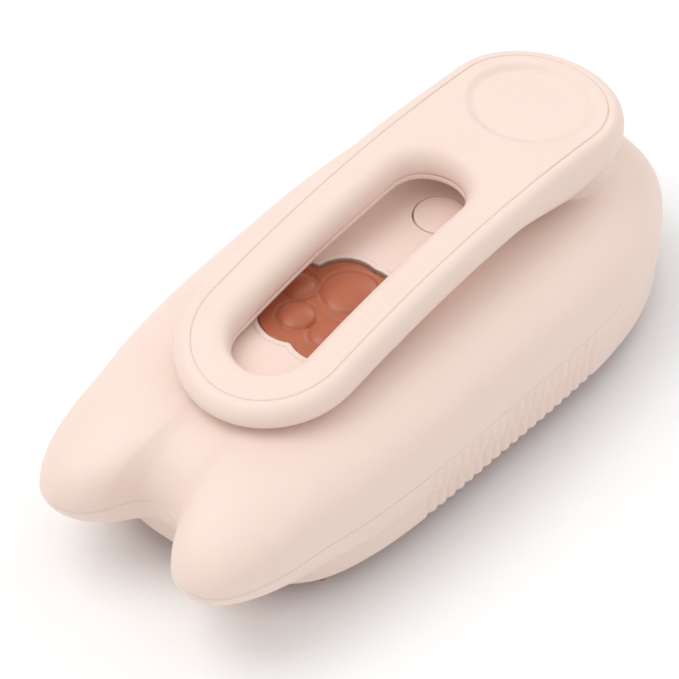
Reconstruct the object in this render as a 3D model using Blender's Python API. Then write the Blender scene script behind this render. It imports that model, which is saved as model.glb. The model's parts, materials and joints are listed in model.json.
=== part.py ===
"""Cat-ear steam grooming brush with a ring handle that swings out behind the body.

Metres, +Z up. The brush stands on its bristle tips at z = 0, ears towards -Y, tail towards +Y,
and the origin is under the middle of its length and width. Sizes below are in millimetres and
are turned into metres by MM where a mesh is made. Heights are counted from a datum plane, which
the "datum" empty holds DATUM_Z above the bristle tips.
"""

import math

import bmesh
import bpy
import numpy as np
from mathutils import Matrix

MM = 0.001
GAP = 0.3

DATUM_Z = 2.0

# Heights clear below and above the casing's top wall, for cutters that go right through it
BELOW_Z = 20.0
ABOVE_Z = 45.0

# Casing
RIM_Z = 4.0
PARTING_Z = 19.0
DECK_Z = 37.3
WALL = 2.0
DOME_POWER = 3.0
DOME_CENTRE_Y = 2.0
EAR_UNDERSIDE_DEPTH = 10.0
OUTLINE_STEPS = 56
EAR_STEP_SHARE = 2.4
DOME_STEPS = 6

# Right halves of the plan outlines, from the ears' notch round to the tail
EAR_OUTLINE = [(0, -67.8), (4.6, -69.0), (7.6, -72.8), (10.2, -77.6), (14.2, -81.2), (19.4, -82.3),
               (24.6, -79.9), (28.6, -73.8), (31.2, -65.4), (32.8, -54.8), (35.1, -42.0), (36.8, -24.0),
               (37.5, 0), (37.7, 22.0), (37.0, 38.0), (34.4, 53.0), (28.4, 67.0), (17.0, 78.4), (0, 82.3)]
BODY_OUTLINE = [(0, -64.6), (12.0, -64.0), (22.6, -59.4), (29.6, -51.6), (33.6, -38.6), (35.4, -22.0),
                (36.2, 0), (36.8, 22.0), (36.4, 38.0), (33.8, 53.0), (27.8, 66.4), (16.6, 77.4), (0, 81.2)]

# Ring handle
HANDLE_TOP_Z = 50.5
HANDLE_THICK = 8.0
HANDLE_HALF_WIDTH = 21.0
COVER_HALF_WIDTH = 17.3
HANDLE_FRONT_Y = -33.1
PIVOT_Y = 53.7
SLOT_HALF_WIDTH = 8.8
SLOT_FRONT_Y = -33.2
SLOT_REAR_Y = 17.3
ARCH_CURVE = 0.0018
ARCH_Y = 21.6
HANDLE_UNDER_MIN_Z = 37.4
HANDLE_TIP_UNDER_Z = 35.9
HANDLE_TIP_SLOPE = 0.08
DIMPLE_RADIUS = 14.7
DIMPLE_DEPTH = 1.1

# Swivel
SEAT_Z = 36.3
TURRET_LIP_Z = 36.75
HUB_RADIUS = 14.7
TURRET_RADIUS = 16.6
SPIGOT_RADIUS = 8.85
SPIGOT_HOLE_RADIUS = 9.2
TURRET_UNDER_Z = 33.0
RETAINER_RADIUS = 12.2
RETAINER_Z = 29.6
RETAINER_THICK = 2.0
WASHER_INNER_RADIUS = 9.6
WASHER_OUTER_RADIUS = 11.8

# Front seat under the ring
FRONT_SEAT_Y = -45.0
FRONT_SEAT_SLOPE = 0.12

# Button
BUTTON_Y = 22.7
BUTTON_RADIUS = 5.85
BUTTON_HOLE_RADIUS = 6.15
LIGHT_X = 3.0
LIGHT_Y = 21.4

# Paw plug: toe and heel circles as (x, y, pad radius, outline radius)
PAW_PADS = [(-4.4, -20.3, 4.3, 8.2), (4.4, -20.3, 4.3, 8.2), (-9.9, -13.0, 3.9, 6.4),
            (9.9, -13.0, 3.9, 6.4), (-2.2, -7.3, 0, 7.7), (2.2, -7.3, 0, 7.7), (0, -7.6, 6.4, 7.7)]
PAW_CENTRE = (0.0, -13.5)
PAW_TOP_Z = 36.5
PAW_FLOOR_Z = 34.7
PAW_BACKING_Z = 32.7
PLUG_NECK_RADIUS = 4.8
PLUG_NECK_Y = -11.0

# Grip ribs
RIB_COUNT = 19
RIB_PITCH = 3.0
RIB_FIRST_Y = -23.4
RIB_TOP_Z = 18.2
RIB_CUTTER_RADIUS = 1.4
RIB_DEPTH = 0.55

# Bristles
BRISTLE_SPACING_X = 8.6
BRISTLE_SPACING_Y = 9.6
BRISTLE_FIRST_Y = -57.6
BRISTLE_ROWS = 14
BRISTLE_COLUMNS = 7
BRISTLE_ROOT_RADIUS = 1.3
BRISTLE_TIP_RADIUS = 0.9
BRISTLE_EDGE = 1.6

# Screws, as (x, y)
SHELL_SCREWS = [(-22.6, -33.0), (22.6, -33.0), (-24.0, 52.0), (24.0, 52.0)]
SHELL_SCREW_HEAD_Z = 11.7
SHELL_BOSS_RADIUS = 3.2
SCREW_BORE_RADIUS = 1.6
BOSS_BORE_TOP_Z = 29.0
POST_RADIUS = 3.6
POST_FOOT_Z = 9.2
HANDLE_SCREWS = [(-13.6, -20.0), (13.6, -20.0), (-13.6, 12.0), (13.6, 12.0)]
BOARD_SCREWS = [(-12.0, 30.0), (12.0, 30.0)]

# Base plate and bristle pad
PAD_Z = 5.2
PAD_THICK = 1.7
PLATE_Z = 7.2
PLATE_THICK = 1.2

# Mist nozzle and tank
NOZZLE_Y = -26.0
NOZZLE_HOLE_RADIUS = 5.6
DISC_Z = 11.1
WICK_RADIUS = 3.5
WICK_TOP_Z = 24.3
TANK_HALF_WIDTH = 17.6
TANK_FRONT_Y = -40.0
TANK_REAR_Y = -1.5
TANK_LOW_Z = 14.0
TANK_HIGH_Z = 30.4
TANK_WALL = 1.6
FILLER_TOP_Z = 31.6

# Cell, boards and charging port
BATTERY_RADIUS = 7.0
BATTERY_Z = 16.6
BATTERY_FRONT_Y = 4.0
BATTERY_REAR_Y = 54.0
BOARD_Z = 24.6
BOARD_THICK = 1.6
PORT_BOARD_Z = 9.2
PORT_BOARD_THICK = 1.2
SOCKET_HALF_WIDTH = 4.5
SOCKET_REAR_Y = 76.2
FLAP_HALF_WIDTH = 6.2
FLAP_LOW_Z = 9.0
FLAP_TOP_Z = 17.0
FLAP_HINGE_Y = 80.8

CREAM = (0.871, 0.741, 0.665, 1.0)
BROWN = (0.434, 0.130, 0.068, 1.0)


def clear_scene():
    for old in list(bpy.data.objects):
        bpy.data.objects.remove(old, do_unlink=True)
    datum = bpy.data.objects.new("datum", None)
    datum.location = (0, 0, DATUM_Z * MM)
    bpy.context.scene.collection.objects.link(datum)


def material(name, colour, roughness, metallic=0.0):
    found = bpy.data.materials.get(name)
    if found:
        return found
    made = bpy.data.materials.new(name)
    made.use_nodes = True
    shader = made.node_tree.nodes["Principled BSDF"]
    shader.inputs["Base Color"].default_value = colour
    shader.inputs["Roughness"].default_value = roughness
    shader.inputs["Metallic"].default_value = metallic
    return made


def add_object(name, mesh_data, finish):
    made = bpy.data.objects.new(name, mesh_data)
    bpy.context.scene.collection.objects.link(made)
    made.parent = bpy.data.objects["datum"]
    if finish:
        made.data.materials.append(finish)
    return made


def add_bmesh(name, shape, finish=None):
    bmesh.ops.recalc_face_normals(shape, faces=shape.faces)
    mesh_data = bpy.data.meshes.new(name)
    shape.to_mesh(mesh_data)
    shape.free()
    return add_object(name, mesh_data, finish)


def ring_verts(shape, points):
    return [shape.verts.new([value * MM for value in point]) for point in points]


def bridge(shape, first, second):
    count = len(first)
    for i in range(count):
        j = (i + 1) % count
        shape.faces.new((first[i], first[j], second[j], second[i]))


def loft(name, rings, finish=None, closed=False):
    """Skins a list of rings; the ends are capped, or joined to each other when closed."""
    shape = bmesh.new()
    made = [ring_verts(shape, ring) for ring in rings]
    for first, second in zip(made, made[1:]):
        bridge(shape, first, second)
    if closed:
        bridge(shape, made[-1], made[0])
    else:
        shape.faces.new(list(reversed(made[0])))
        shape.faces.new(made[-1])
    return add_bmesh(name, shape, finish)


def circle(x, y, z, radius, sides):
    turn = 2 * math.pi / sides
    return [(x + radius * math.cos(i * turn), y + radius * math.sin(i * turn), z) for i in range(sides)]


def turned(name, x, y, profile, finish=None, sides=18, closed=False):
    """A turned piece about a vertical axis; profile is a list of (radius, z)."""
    return loft(name, [circle(x, y, z, radius, sides) for radius, z in profile], finish, closed)


def bore(name, x, y, radius, low_z, high_z, finish=None, sides=18):
    """A plain upright cylinder, as a cutter or as a disc."""
    return turned(name, x, y, [(radius, low_z), (radius, high_z)], finish, sides)


def block(name, low, high, finish=None, bevel=0.0):
    x0, y0, z0 = low
    x1, y1, z1 = high
    flat = [(x0, y0), (x1, y0), (x1, y1), (x0, y1)]
    made = loft(name, [[(x, y, z) for x, y in flat] for z in (z0, z1)], finish)
    if bevel:
        soften = made.modifiers.new("soften", "BEVEL")
        soften.width = bevel * MM
        soften.segments = 1
    return made


def boolean(target, cutter, operation):
    step = target.modifiers.new(operation.lower(), "BOOLEAN")
    step.operation = operation
    step.solver = "EXACT"
    step.object = cutter
    cutter.hide_render = True
    cutter.display_type = "WIRE"
    cutter.hide_set(True)


def cut(target, cutter):
    boolean(target, cutter, "DIFFERENCE")


def join(target, addition):
    boolean(target, addition, "UNION")


# ---- plan outlines ----


def smooth_closed(half, samples=24):
    """A closed Catmull-Rom curve through a half outline and its mirror image."""
    whole = list(half) + [(-x, y) for x, y in reversed(half[1:-1])]
    points = np.array(whole, float)
    count = len(points)
    curve = []
    for i in range(count):
        a, b, c, d = (points[(i + k) % count] for k in (-1, 0, 1, 2))
        for t in np.arange(samples) / samples:
            curve.append(0.5 * (2 * b + (c - a) * t + (2 * a - 5 * b + 4 * c - d) * t ** 2
                                + (3 * b - a - 3 * c + d) * t ** 3))
    return np.array(curve)


def polar(curve):
    angle = np.arctan2(curve[:, 0], DOME_CENTRE_Y - curve[:, 1])
    return angle, np.hypot(curve[:, 0], curve[:, 1] - DOME_CENTRE_Y)


def radius_at(curve, angles):
    angle, radius = polar(curve)
    order = np.argsort(angle)
    angle, radius = angle[order], radius[order]
    full = 2 * math.pi
    angle = np.concatenate([angle - full, angle, angle + full])
    return np.interp(angles, angle, np.tile(radius, 3))


def even_angles(curve, count):
    """Directions from the dome's centre that cut the curve into even lengths, shorter round the ears."""
    closed = np.vstack([curve, curve[:1]])
    steps = np.hypot(*np.diff(closed, axis=0).T)
    steps[closed[1:, 1] < -58.0] *= EAR_STEP_SHARE
    run = np.concatenate([[0], np.cumsum(steps)])
    wanted = np.arange(count) * run[-1] / count
    points = np.column_stack([np.interp(wanted, run, closed[:, k]) for k in (0, 1)])
    return polar(points)[0]


def inset(curve, distance):
    before = np.roll(curve, 1, axis=0)
    after = np.roll(curve, -1, axis=0)
    along = after - before
    along /= np.hypot(along[:, 0], along[:, 1])[:, None]
    return curve + distance * np.column_stack([-along[:, 1], along[:, 0]])


EARS = smooth_closed(EAR_OUTLINE)
BODY = smooth_closed(BODY_OUTLINE)
ANGLES = even_angles(EARS, OUTLINE_STEPS)


def half_width(y):
    """Half width of the wall's foot at a distance y along the brush."""
    right = BODY[BODY[:, 0] > 0]
    right = right[np.argsort(right[:, 1])]
    return float(np.interp(y, right[:, 1], right[:, 0]))


def plan_ring(radii, z):
    return [(r * math.sin(a), DOME_CENTRE_Y - r * math.cos(a), z) for r, a in zip(radii, ANGLES)]


def dome_ring(outline_radii, rise, base_z, turn):
    scale = math.cos(turn) ** (2 / DOME_POWER)
    lift = math.sin(turn) ** (2 / DOME_POWER)
    return plan_ring(outline_radii * scale, base_z + rise * lift)


def dome_height(x, y):
    """Outer height of the upper casing above the plane of the bristle tips."""
    angle = math.atan2(x, DOME_CENTRE_Y - y)
    share = math.hypot(x, y - DOME_CENTRE_Y) / float(radius_at(EARS, [angle])[0])
    return PARTING_Z + (DECK_Z - PARTING_Z) * (1 - min(share, 1.0) ** DOME_POWER) ** (1 / DOME_POWER)


def boss_top(x, y):
    """Top of a screw boss that stays inside the domed wall all the way round."""
    reach = math.hypot(x, y - DOME_CENTRE_Y)
    grow = (reach + SHELL_BOSS_RADIUS) / reach
    return dome_height(x * grow, DOME_CENTRE_Y + (y - DOME_CENTRE_Y) * grow) - WALL * 0.6


# ---- upper casing ----


def dome_skin(name, finish):
    """Open dome of even wall, its rim at the parting plane."""
    base = PARTING_Z + GAP / 2
    outer = radius_at(EARS, ANGLES)
    inner = radius_at(inset(EARS, WALL), ANGLES)
    turns = [i * math.pi / 2 / DOME_STEPS for i in range(DOME_STEPS)]
    shape = bmesh.new()
    walls = []
    for radii, rise in ((outer, DECK_Z - base), (inner, DECK_Z - base - WALL)):
        rings = [ring_verts(shape, dome_ring(radii, rise, base, turn)) for turn in turns]
        for first, second in zip(rings, rings[1:]):
            bridge(shape, first, second)
        peak = shape.verts.new((0, DOME_CENTRE_Y * MM, (base + rise) * MM))
        last = rings[-1]
        for i, vert in enumerate(last):
            shape.faces.new((vert, last[(i + 1) % len(last)], peak))
        walls.append(rings[0])
    bridge(shape, walls[0], walls[1])
    return add_bmesh(name, shape, finish)


def paw_outline(margin, steps=40):
    """Outer edge of the toe and heel circles, seen from the paw's centre."""
    cx, cy = PAW_CENTRE
    edge = []
    for i in range(steps):
        angle = 2 * math.pi * (i + 0.5) / steps
        dx, dy = math.cos(angle), math.sin(angle)
        reach = 0.0
        for x, y, _, radius in PAW_PADS:
            along = (x - cx) * dx + (y - cy) * dy
            off2 = (x - cx) ** 2 + (y - cy) ** 2 - along ** 2
            if off2 < radius ** 2:
                reach = max(reach, along + math.sqrt(radius ** 2 - off2))
        edge.append((cx + (reach + margin) * dx, cy + (reach + margin) * dy))
    return edge


def paw_prism(name, margin, low_z, high_z, finish=None):
    edge = paw_outline(margin)
    return loft(name, [[(x, y, z) for x, y in edge] for z in (low_z, high_z)], finish)


def upper_shell(finish):
    shell = dome_skin("upper_shell", finish)
    turret = [(TURRET_RADIUS, TURRET_UNDER_Z - 1), (TURRET_RADIUS, TURRET_LIP_Z)]
    join(shell, turned("turret_add", 0, PIVOT_Y, turret, sides=28))
    seat_z = dome_height(0, FRONT_SEAT_Y)
    seat = turned("front_seat_add", 0, 0, [(11.0, -4.0), (11.0, -0.2), (9.4, 0.3)], sides=20)
    seat.scale = (1.0, 0.62, 1.0)
    seat.rotation_euler = (math.atan(FRONT_SEAT_SLOPE), 0, 0)
    seat.location = (0, FRONT_SEAT_Y * MM, (seat_z + 0.1) * MM)
    join(shell, seat)
    join(shell, paw_prism("paw_backing_add", 1.8, PAW_BACKING_Z, PAW_TOP_Z))
    cut(shell, bore("turret_clear_cut", 0, PIVOT_Y, HUB_RADIUS + 0.5, SEAT_Z, ABOVE_Z, sides=28))
    cut(shell, bore("turret_under_cut", 0, PIVOT_Y, RETAINER_RADIUS + 0.6, BELOW_Z, TURRET_UNDER_Z, sides=20))
    cut(shell, bore("spigot_cut", 0, PIVOT_Y, SPIGOT_HOLE_RADIUS, BELOW_Z, ABOVE_Z))
    cut(shell, bore("button_cut", 0, BUTTON_Y, BUTTON_HOLE_RADIUS, BELOW_Z, ABOVE_Z, sides=28))
    cut(shell, paw_prism("paw_cut", GAP, PAW_FLOOR_Z, ABOVE_Z))
    cut(shell, bore("plug_neck_cut", 0, PLUG_NECK_Y, PLUG_NECK_RADIUS + GAP, BELOW_Z, ABOVE_Z))
    for x, y in SHELL_SCREWS:
        place = f"{x:.0f}_{y:.0f}"
        foot_z = PARTING_Z + GAP
        join(shell, bore(f"screw_boss_add_{place}", x, y, SHELL_BOSS_RADIUS, foot_z, boss_top(x, y), sides=8))
        drill = bore(f"screw_bore_cut_{place}", x, y, SCREW_BORE_RADIUS, foot_z - 2, BOSS_BORE_TOP_Z, sides=8)
        cut(shell, drill)
    return shell


# ---- lower casing ----


def ear_share(depth, full_depth):
    """How much of the ears' overhang is left this far below the parting plane."""
    if depth >= full_depth:
        return 0.0
    return math.sqrt(1 - (depth / full_depth) ** 2)


def wall_rings(ear_curve, body_curve, depths, full_depth):
    ears = radius_at(ear_curve, ANGLES)
    body = radius_at(body_curve, ANGLES)
    top = PARTING_Z - GAP / 2
    return [plan_ring(body + (ears - body) * ear_share(d, full_depth), top - d) for d in depths]


def lower_shell(finish):
    height = PARTING_Z - GAP / 2 - RIM_Z
    outer = wall_rings(EARS, BODY, [0, 2, 4, 6, 7.6, 8.8, 9.6, 10, height], EAR_UNDERSIDE_DEPTH)
    inner_depths = [0, 3, 5.6, 7.2, 8, height]
    inner = wall_rings(inset(EARS, WALL), inset(BODY, WALL), inner_depths, EAR_UNDERSIDE_DEPTH - WALL)
    shell = loft("lower_shell", outer + inner[::-1], finish, closed=True)
    low, high = FLAP_LOW_Z - 0.4, FLAP_TOP_Z + 0.4
    wide = FLAP_HALF_WIDTH + 0.4
    join(shell, block("port_pad_add", (-wide - 2.4, 76.6, low), (wide + 2.4, 80.6, high + 0.6)))
    cut(shell, block("port_recess_cut", (-wide, 79.4, low), (wide, 90, high)))
    hole = SOCKET_HALF_WIDTH + 0.4
    cut(shell, block("port_hole_cut", (-hole, 70, 10.9), (hole, 90, 14.6)))
    for side in (-1, 1):
        cut(shell, rib_cutters(f"rib_cut_{side}", side))
    for x, y in SHELL_SCREWS:
        add_post(shell, x, y)
    return shell


def add_post(shell, x, y):
    """A screw post on a web from the side wall, bored for the shank and sunk for the head."""
    place = f"{x:.0f}_{y:.0f}"
    join(shell, bore(f"screw_post_add_{place}", x, y, POST_RADIUS, POST_FOOT_Z, PARTING_Z, sides=10))
    wall_x = math.copysign(half_width(y) - WALL / 2, x)
    low = (min(x, wall_x), y - 0.8, POST_FOOT_Z + 0.4)
    high = (max(x, wall_x), y + 0.8, PARTING_Z - 1.4)
    join(shell, block(f"post_web_add_{place}", low, high))
    cut(shell, bore(f"post_bore_cut_{place}", x, y, SCREW_BORE_RADIUS, 5, 30, sides=8))
    cut(shell, bore(f"post_sink_cut_{place}", x, y, 2.9, 5, SHELL_SCREW_HEAD_Z + GAP, sides=10))


def rib_cutters(name, side):
    """One mesh of upright rods that scallop the side wall between the grip ribs."""
    shape = bmesh.new()
    for i in range(RIB_COUNT):
        y = RIB_FIRST_Y + i * RIB_PITCH
        centre_x = side * (half_width(y) + RIB_CUTTER_RADIUS - RIB_DEPTH)
        low = ring_verts(shape, circle(centre_x, y, 0, RIB_CUTTER_RADIUS, 6))
        high = ring_verts(shape, circle(centre_x, y, RIB_TOP_Z, RIB_CUTTER_RADIUS, 6))
        bridge(shape, low, high)
        shape.faces.new(list(reversed(low)))
        shape.faces.new(high)
    return add_bmesh(name, shape)


# ---- base ----


def base_plan(distance, z):
    return plan_ring(radius_at(inset(BODY, distance), ANGLES), z)


def base_slab(name, low_z, thick, finish):
    """A plate that fills the casing's foot, with the hole for the mist nozzle."""
    slab = loft(name, [base_plan(WALL + GAP, low_z), base_plan(WALL + GAP, low_z + thick)], finish)
    cut(slab, bore(f"{name}_nozzle_cut", 0, NOZZLE_Y, NOZZLE_HOLE_RADIUS, 4, 12, sides=20))
    return slab


def bristle_places():
    half = (BRISTLE_COLUMNS - 1) / 2
    edge = inset(BODY, WALL + BRISTLE_EDGE)
    places = []
    for row in range(BRISTLE_ROWS):
        y = BRISTLE_FIRST_Y + row * BRISTLE_SPACING_Y
        for column in range(BRISTLE_COLUMNS):
            x = (column - half) * BRISTLE_SPACING_X
            angle = math.atan2(x, DOME_CENTRE_Y - y)
            inside = math.hypot(x, y - DOME_CENTRE_Y) < float(radius_at(edge, [angle])[0])
            clear_of_nozzle = math.hypot(x, y - NOZZLE_Y) > 7.8
            if inside and clear_of_nozzle:
                places.append((x, y))
    return places


def bristle_pad(finish):
    pad = base_slab("bristle_pad", PAD_Z, PAD_THICK, finish)
    shape = bmesh.new()
    for x, y in bristle_places():
        rings = [ring_verts(shape, circle(x, y, z, r, 6)) for r, z in
                 ((BRISTLE_ROOT_RADIUS, PAD_Z + 0.8), (BRISTLE_TIP_RADIUS, -DATUM_Z))]
        for first, second in zip(rings, rings[1:]):
            bridge(shape, first, second)
        shape.faces.new(list(reversed(rings[0])))
        shape.faces.new(rings[-1])
    join(pad, add_bmesh("bristles_add", shape))
    return pad


# ---- ring handle ----


def arch_top(y):
    return HANDLE_TOP_Z - ARCH_CURVE * (y - ARCH_Y) ** 2


def handle_z(y, depth):
    """Height at a depth below the arched top; the underside is HANDLE_THICK down or clear of the dome."""
    top = arch_top(y)
    tip_y = HANDLE_FRONT_Y - HANDLE_HALF_WIDTH
    sweep = min(HANDLE_UNDER_MIN_Z, HANDLE_TIP_UNDER_Z + HANDLE_TIP_SLOPE * (y - tip_y))
    under = max(top - HANDLE_THICK, sweep)
    return top - depth * (top - under) / HANDLE_THICK


def pill_ring(half_width, front_y, rear_y, depth, arc_steps=10, side_steps=5):
    flat = []
    for i in range(side_steps):
        flat.append((half_width, front_y + (rear_y - front_y) * i / side_steps))
    for i in range(arc_steps):
        turn = math.pi * i / arc_steps
        flat.append((half_width * math.cos(turn), rear_y + half_width * math.sin(turn)))
    for i in range(side_steps):
        flat.append((-half_width, rear_y + (front_y - rear_y) * i / side_steps))
    for i in range(arc_steps):
        turn = math.pi * i / arc_steps
        flat.append((-half_width * math.cos(turn), front_y - half_width * math.sin(turn)))
    return [(x, y, handle_z(y, depth)) for x, y in flat]


def outer_ring(half_width, depth):
    return pill_ring(half_width, HANDLE_FRONT_Y, PIVOT_Y, depth)


def slot_ring(half_width, depth):
    return pill_ring(half_width, SLOT_FRONT_Y, SLOT_REAR_Y, depth)


def between(first, second, share, depth):
    """A ring part of the way from one plan outline to another, laid on the arch."""
    mixed = [(a[0] + (b[0] - a[0]) * share, a[1] + (b[1] - a[1]) * share) for a, b in zip(first, second)]
    return [(x, y, handle_z(y, depth)) for x, y in mixed]


def handle_cover(finish):
    edge = COVER_HALF_WIDTH - GAP / 2
    rim, brink = outer_ring(edge, 0.0), slot_ring(12.6, 0.0)
    rings = [rim, between(rim, brink, 0.33, 0.0), between(rim, brink, 0.67, 0.0), brink,
             slot_ring(10.4, 0.8), slot_ring(9.1, 2.6), slot_ring(SLOT_HALF_WIDTH, 4.6),
             slot_ring(SLOT_HALF_WIDTH, 5.6), slot_ring(10.6, 5.6), slot_ring(10.6, 2.2),
             between(rim, brink, 0.67, 2.2), between(rim, brink, 0.33, 2.2), outer_ring(edge, 2.2)]
    cover = loft("handle_cover", rings, finish, closed=True)
    lens_radius = (DIMPLE_RADIUS ** 2 + DIMPLE_DEPTH ** 2) / (2 * DIMPLE_DEPTH)
    turns = [i / 3 * math.asin(DIMPLE_RADIUS / lens_radius) for i in range(1, 4)]
    profile = [(lens_radius * math.sin(t), lens_radius * (1 - math.cos(t)) - DIMPLE_DEPTH) for t in turns]
    bowl = turned("dimple_cut", 0, 0, profile + [(DIMPLE_RADIUS, 4.0)], sides=24)
    bowl.rotation_euler = (math.atan(-2 * ARCH_CURVE * (PIVOT_Y - ARCH_Y)), 0, 0)
    bowl.location = (0, PIVOT_Y * MM, arch_top(PIVOT_Y) * MM)
    cut(cover, bowl)
    for x, y in HANDLE_SCREWS:
        z = handle_z(y, 5.9)
        join(cover, bore(f"cover_boss_add_{x:.0f}_{y:.0f}", x, y, 1.9, z + GAP, z + 4.6, sides=12))
        cut(cover, bore(f"cover_bore_cut_{x:.0f}_{y:.0f}", x, y, 1.1, z - 1, z + 4.0, sides=10))
    return cover


def handle_base(finish):
    full = HANDLE_HALF_WIDTH
    inlay = COVER_HALF_WIDTH + GAP / 2
    rings = [outer_ring(full - 2.6, 8.0), outer_ring(full - 0.8, 7.0), outer_ring(full, 5.0),
             outer_ring(full - 0.1, 3.2), outer_ring(full - 0.9, 1.4), outer_ring(full - 2.2, 0.35),
             outer_ring(inlay, 0.0), outer_ring(inlay, 2.5), outer_ring(16.1, 2.5), outer_ring(16.1, 6.2),
             slot_ring(11.4, 6.2), slot_ring(11.4, 5.9), slot_ring(SLOT_HALF_WIDTH, 5.9),
             slot_ring(SLOT_HALF_WIDTH + 0.1, 6.8), slot_ring(10.4, 8.0)]
    base = loft("handle_base", rings, finish, closed=True)
    hub = [(HUB_RADIUS, SEAT_Z + GAP), (HUB_RADIUS, 42.4), (HUB_RADIUS - 2, 43.0)]
    join(base, turned("hub_add", 0, PIVOT_Y, hub, sides=24))
    spigot = [(SPIGOT_RADIUS, TURRET_UNDER_Z - 1.1), (SPIGOT_RADIUS, 38.0)]
    join(base, turned("spigot_add", 0, PIVOT_Y, spigot))
    cut(base, bore("pivot_bore_cut", 0, PIVOT_Y, 1.7, BELOW_Z, 39.6, sides=12))
    for x, y in HANDLE_SCREWS:
        z = handle_z(y, 8.0)
        cut(base, bore(f"base_bore_cut_{x:.0f}_{y:.0f}", x, y, 1.3, z - 1, z + 4, sides=10))
        cut(base, bore(f"base_sink_cut_{x:.0f}_{y:.0f}", x, y, 2.3, z - 3, z + 1.0, sides=12))
    return base


# ---- fasteners ----


def screw(name, x, y, z, head, shank, reach, finish, head_height=1.4):
    """Pan-head screw pointing up, its head bearing at z."""
    profile = [(head * 0.8, z - head_height), (head, z - head_height * 0.6), (head, z), (shank, z),
               (shank, z + reach), (shank * 0.4, z + reach + 0.8)]
    return turned(name, x, y, profile, finish, sides=8)


def screws(finish):
    for i, (x, y) in enumerate(SHELL_SCREWS, 1):
        screw(f"shell_screw_{i}", x, y, SHELL_SCREW_HEAD_Z, 2.5, 1.2, 14.0, finish)
    for i, (x, y) in enumerate(HANDLE_SCREWS, 1):
        screw(f"handle_screw_{i}", x, y, handle_z(y, 8.0) + 0.7, 1.9, 0.8, 4.0, finish, head_height=0.9)
    screw("pivot_screw", 0, PIVOT_Y, RETAINER_Z - GAP, 3.2, 1.4, 8.6, finish, head_height=1.8)
    for i, (x, y) in enumerate(BOARD_SCREWS, 1):
        screw(f"board_screw_{i}", x, y, BOARD_Z - GAP, 1.9, 0.8, 4.0, finish, head_height=1.0)


# ---- swivel parts ----


def flat_ring(name, x, y, inner, outer, low_z, high_z, finish):
    profile = [(inner, low_z), (outer, low_z), (outer, high_z), (inner, high_z)]
    return turned(name, x, y, profile, finish, closed=True)


def swivel_parts(steel, plastic):
    low, high = RETAINER_Z + RETAINER_THICK + GAP, TURRET_UNDER_Z - GAP
    flat_ring("wave_washer", 0, PIVOT_Y, WASHER_INNER_RADIUS, WASHER_OUTER_RADIUS, low, high, steel)
    top = RETAINER_Z + RETAINER_THICK
    flat_ring("pivot_retainer", 0, PIVOT_Y, 1.8, RETAINER_RADIUS, RETAINER_Z, top, plastic)


# ---- button, light and plug ----


def power_button(finish):
    profile = [(1.5, 32.2), (1.5, 33.5), (7.2, 33.5), (7.2, 34.9), (BUTTON_RADIUS, 34.9),
               (BUTTON_RADIUS, DECK_Z - 0.35), (BUTTON_RADIUS - 0.35, DECK_Z - 0.1)]
    cap = turned("power_button", 0, BUTTON_Y, profile, finish, sides=28)
    cut(cap, bore("light_cut", LIGHT_X, LIGHT_Y, 0.85, BELOW_Z, ABOVE_Z, sides=10))
    return cap


def indicator_light(finish):
    return bore("indicator_light", LIGHT_X, LIGHT_Y, 0.55, 33.6, DECK_Z - 0.15, finish, sides=10)


def paw_plug(finish):
    plug = paw_prism("paw_plug", 0.0, PAW_FLOOR_Z + GAP, PAW_TOP_Z, finish)
    for i, (x, y, pad, _) in enumerate(PAW_PADS):
        if pad:
            rise = [(pad, -0.6), (pad, 0.0), (pad * 0.8, 0.7), (pad * 0.35, 1.1)]
            join(plug, turned(f"pad_add_{i}", x, y, [(r, PAW_TOP_Z + z) for r, z in rise], sides=12))
    neck = [(PLUG_NECK_RADIUS - 0.8, 29.6), (PLUG_NECK_RADIUS, 30.6), (PLUG_NECK_RADIUS, 35.6)]
    join(plug, turned("plug_neck_add", 0, PLUG_NECK_Y, neck))
    return plug


# ---- inside ----


def water_tank(finish):
    low = (-TANK_HALF_WIDTH, TANK_FRONT_Y, TANK_LOW_Z)
    high = (TANK_HALF_WIDTH, TANK_REAR_Y, TANK_HIGH_Z)
    tank = block("water_tank", low, high, finish, bevel=2.5)
    join(tank, bore("tank_neck_add", 0, PLUG_NECK_Y, 7.4, TANK_HIGH_Z - 1.4, FILLER_TOP_Z, sides=20))
    inner_low = [value + TANK_WALL for value in low]
    inner_high = [value - TANK_WALL for value in high]
    cut(tank, block("tank_cavity_cut", inner_low, inner_high, bevel=2.0))
    cut(tank, bore("tank_filler_cut", 0, PLUG_NECK_Y, 5.2, TANK_HIGH_Z - 3.4, ABOVE_Z, sides=20))
    cut(tank, bore("tank_outlet_cut", 0, NOZZLE_Y, WICK_RADIUS + 0.4, 10, 17, sides=16))
    return tank


def wick_spring(finish):
    """A short coil that presses the wick on the mist plate."""
    turns, steps, radius, wire = 3, 10, 2.6, 0.35
    low = WICK_TOP_Z + GAP + 0.2
    high = TANK_HIGH_Z - TANK_WALL - 0.6
    centres = []
    for i in range(turns * steps + 1):
        angle = 2 * math.pi * i / steps
        rise = low + (high - low) * i / (turns * steps)
        centres.append((radius * math.cos(angle) * MM, (NOZZLE_Y + radius * math.sin(angle)) * MM, rise * MM))
    path = bpy.data.curves.new("wick_spring", "CURVE")
    path.dimensions = "3D"
    path.bevel_depth = wire * MM
    path.bevel_resolution = 0
    path.use_fill_caps = True
    line = path.splines.new("POLY")
    line.points.add(len(centres) - 1)
    for point, centre in zip(line.points, centres):
        point.co = (*centre, 1.0)
    return add_object("wick_spring", path, finish)


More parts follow.
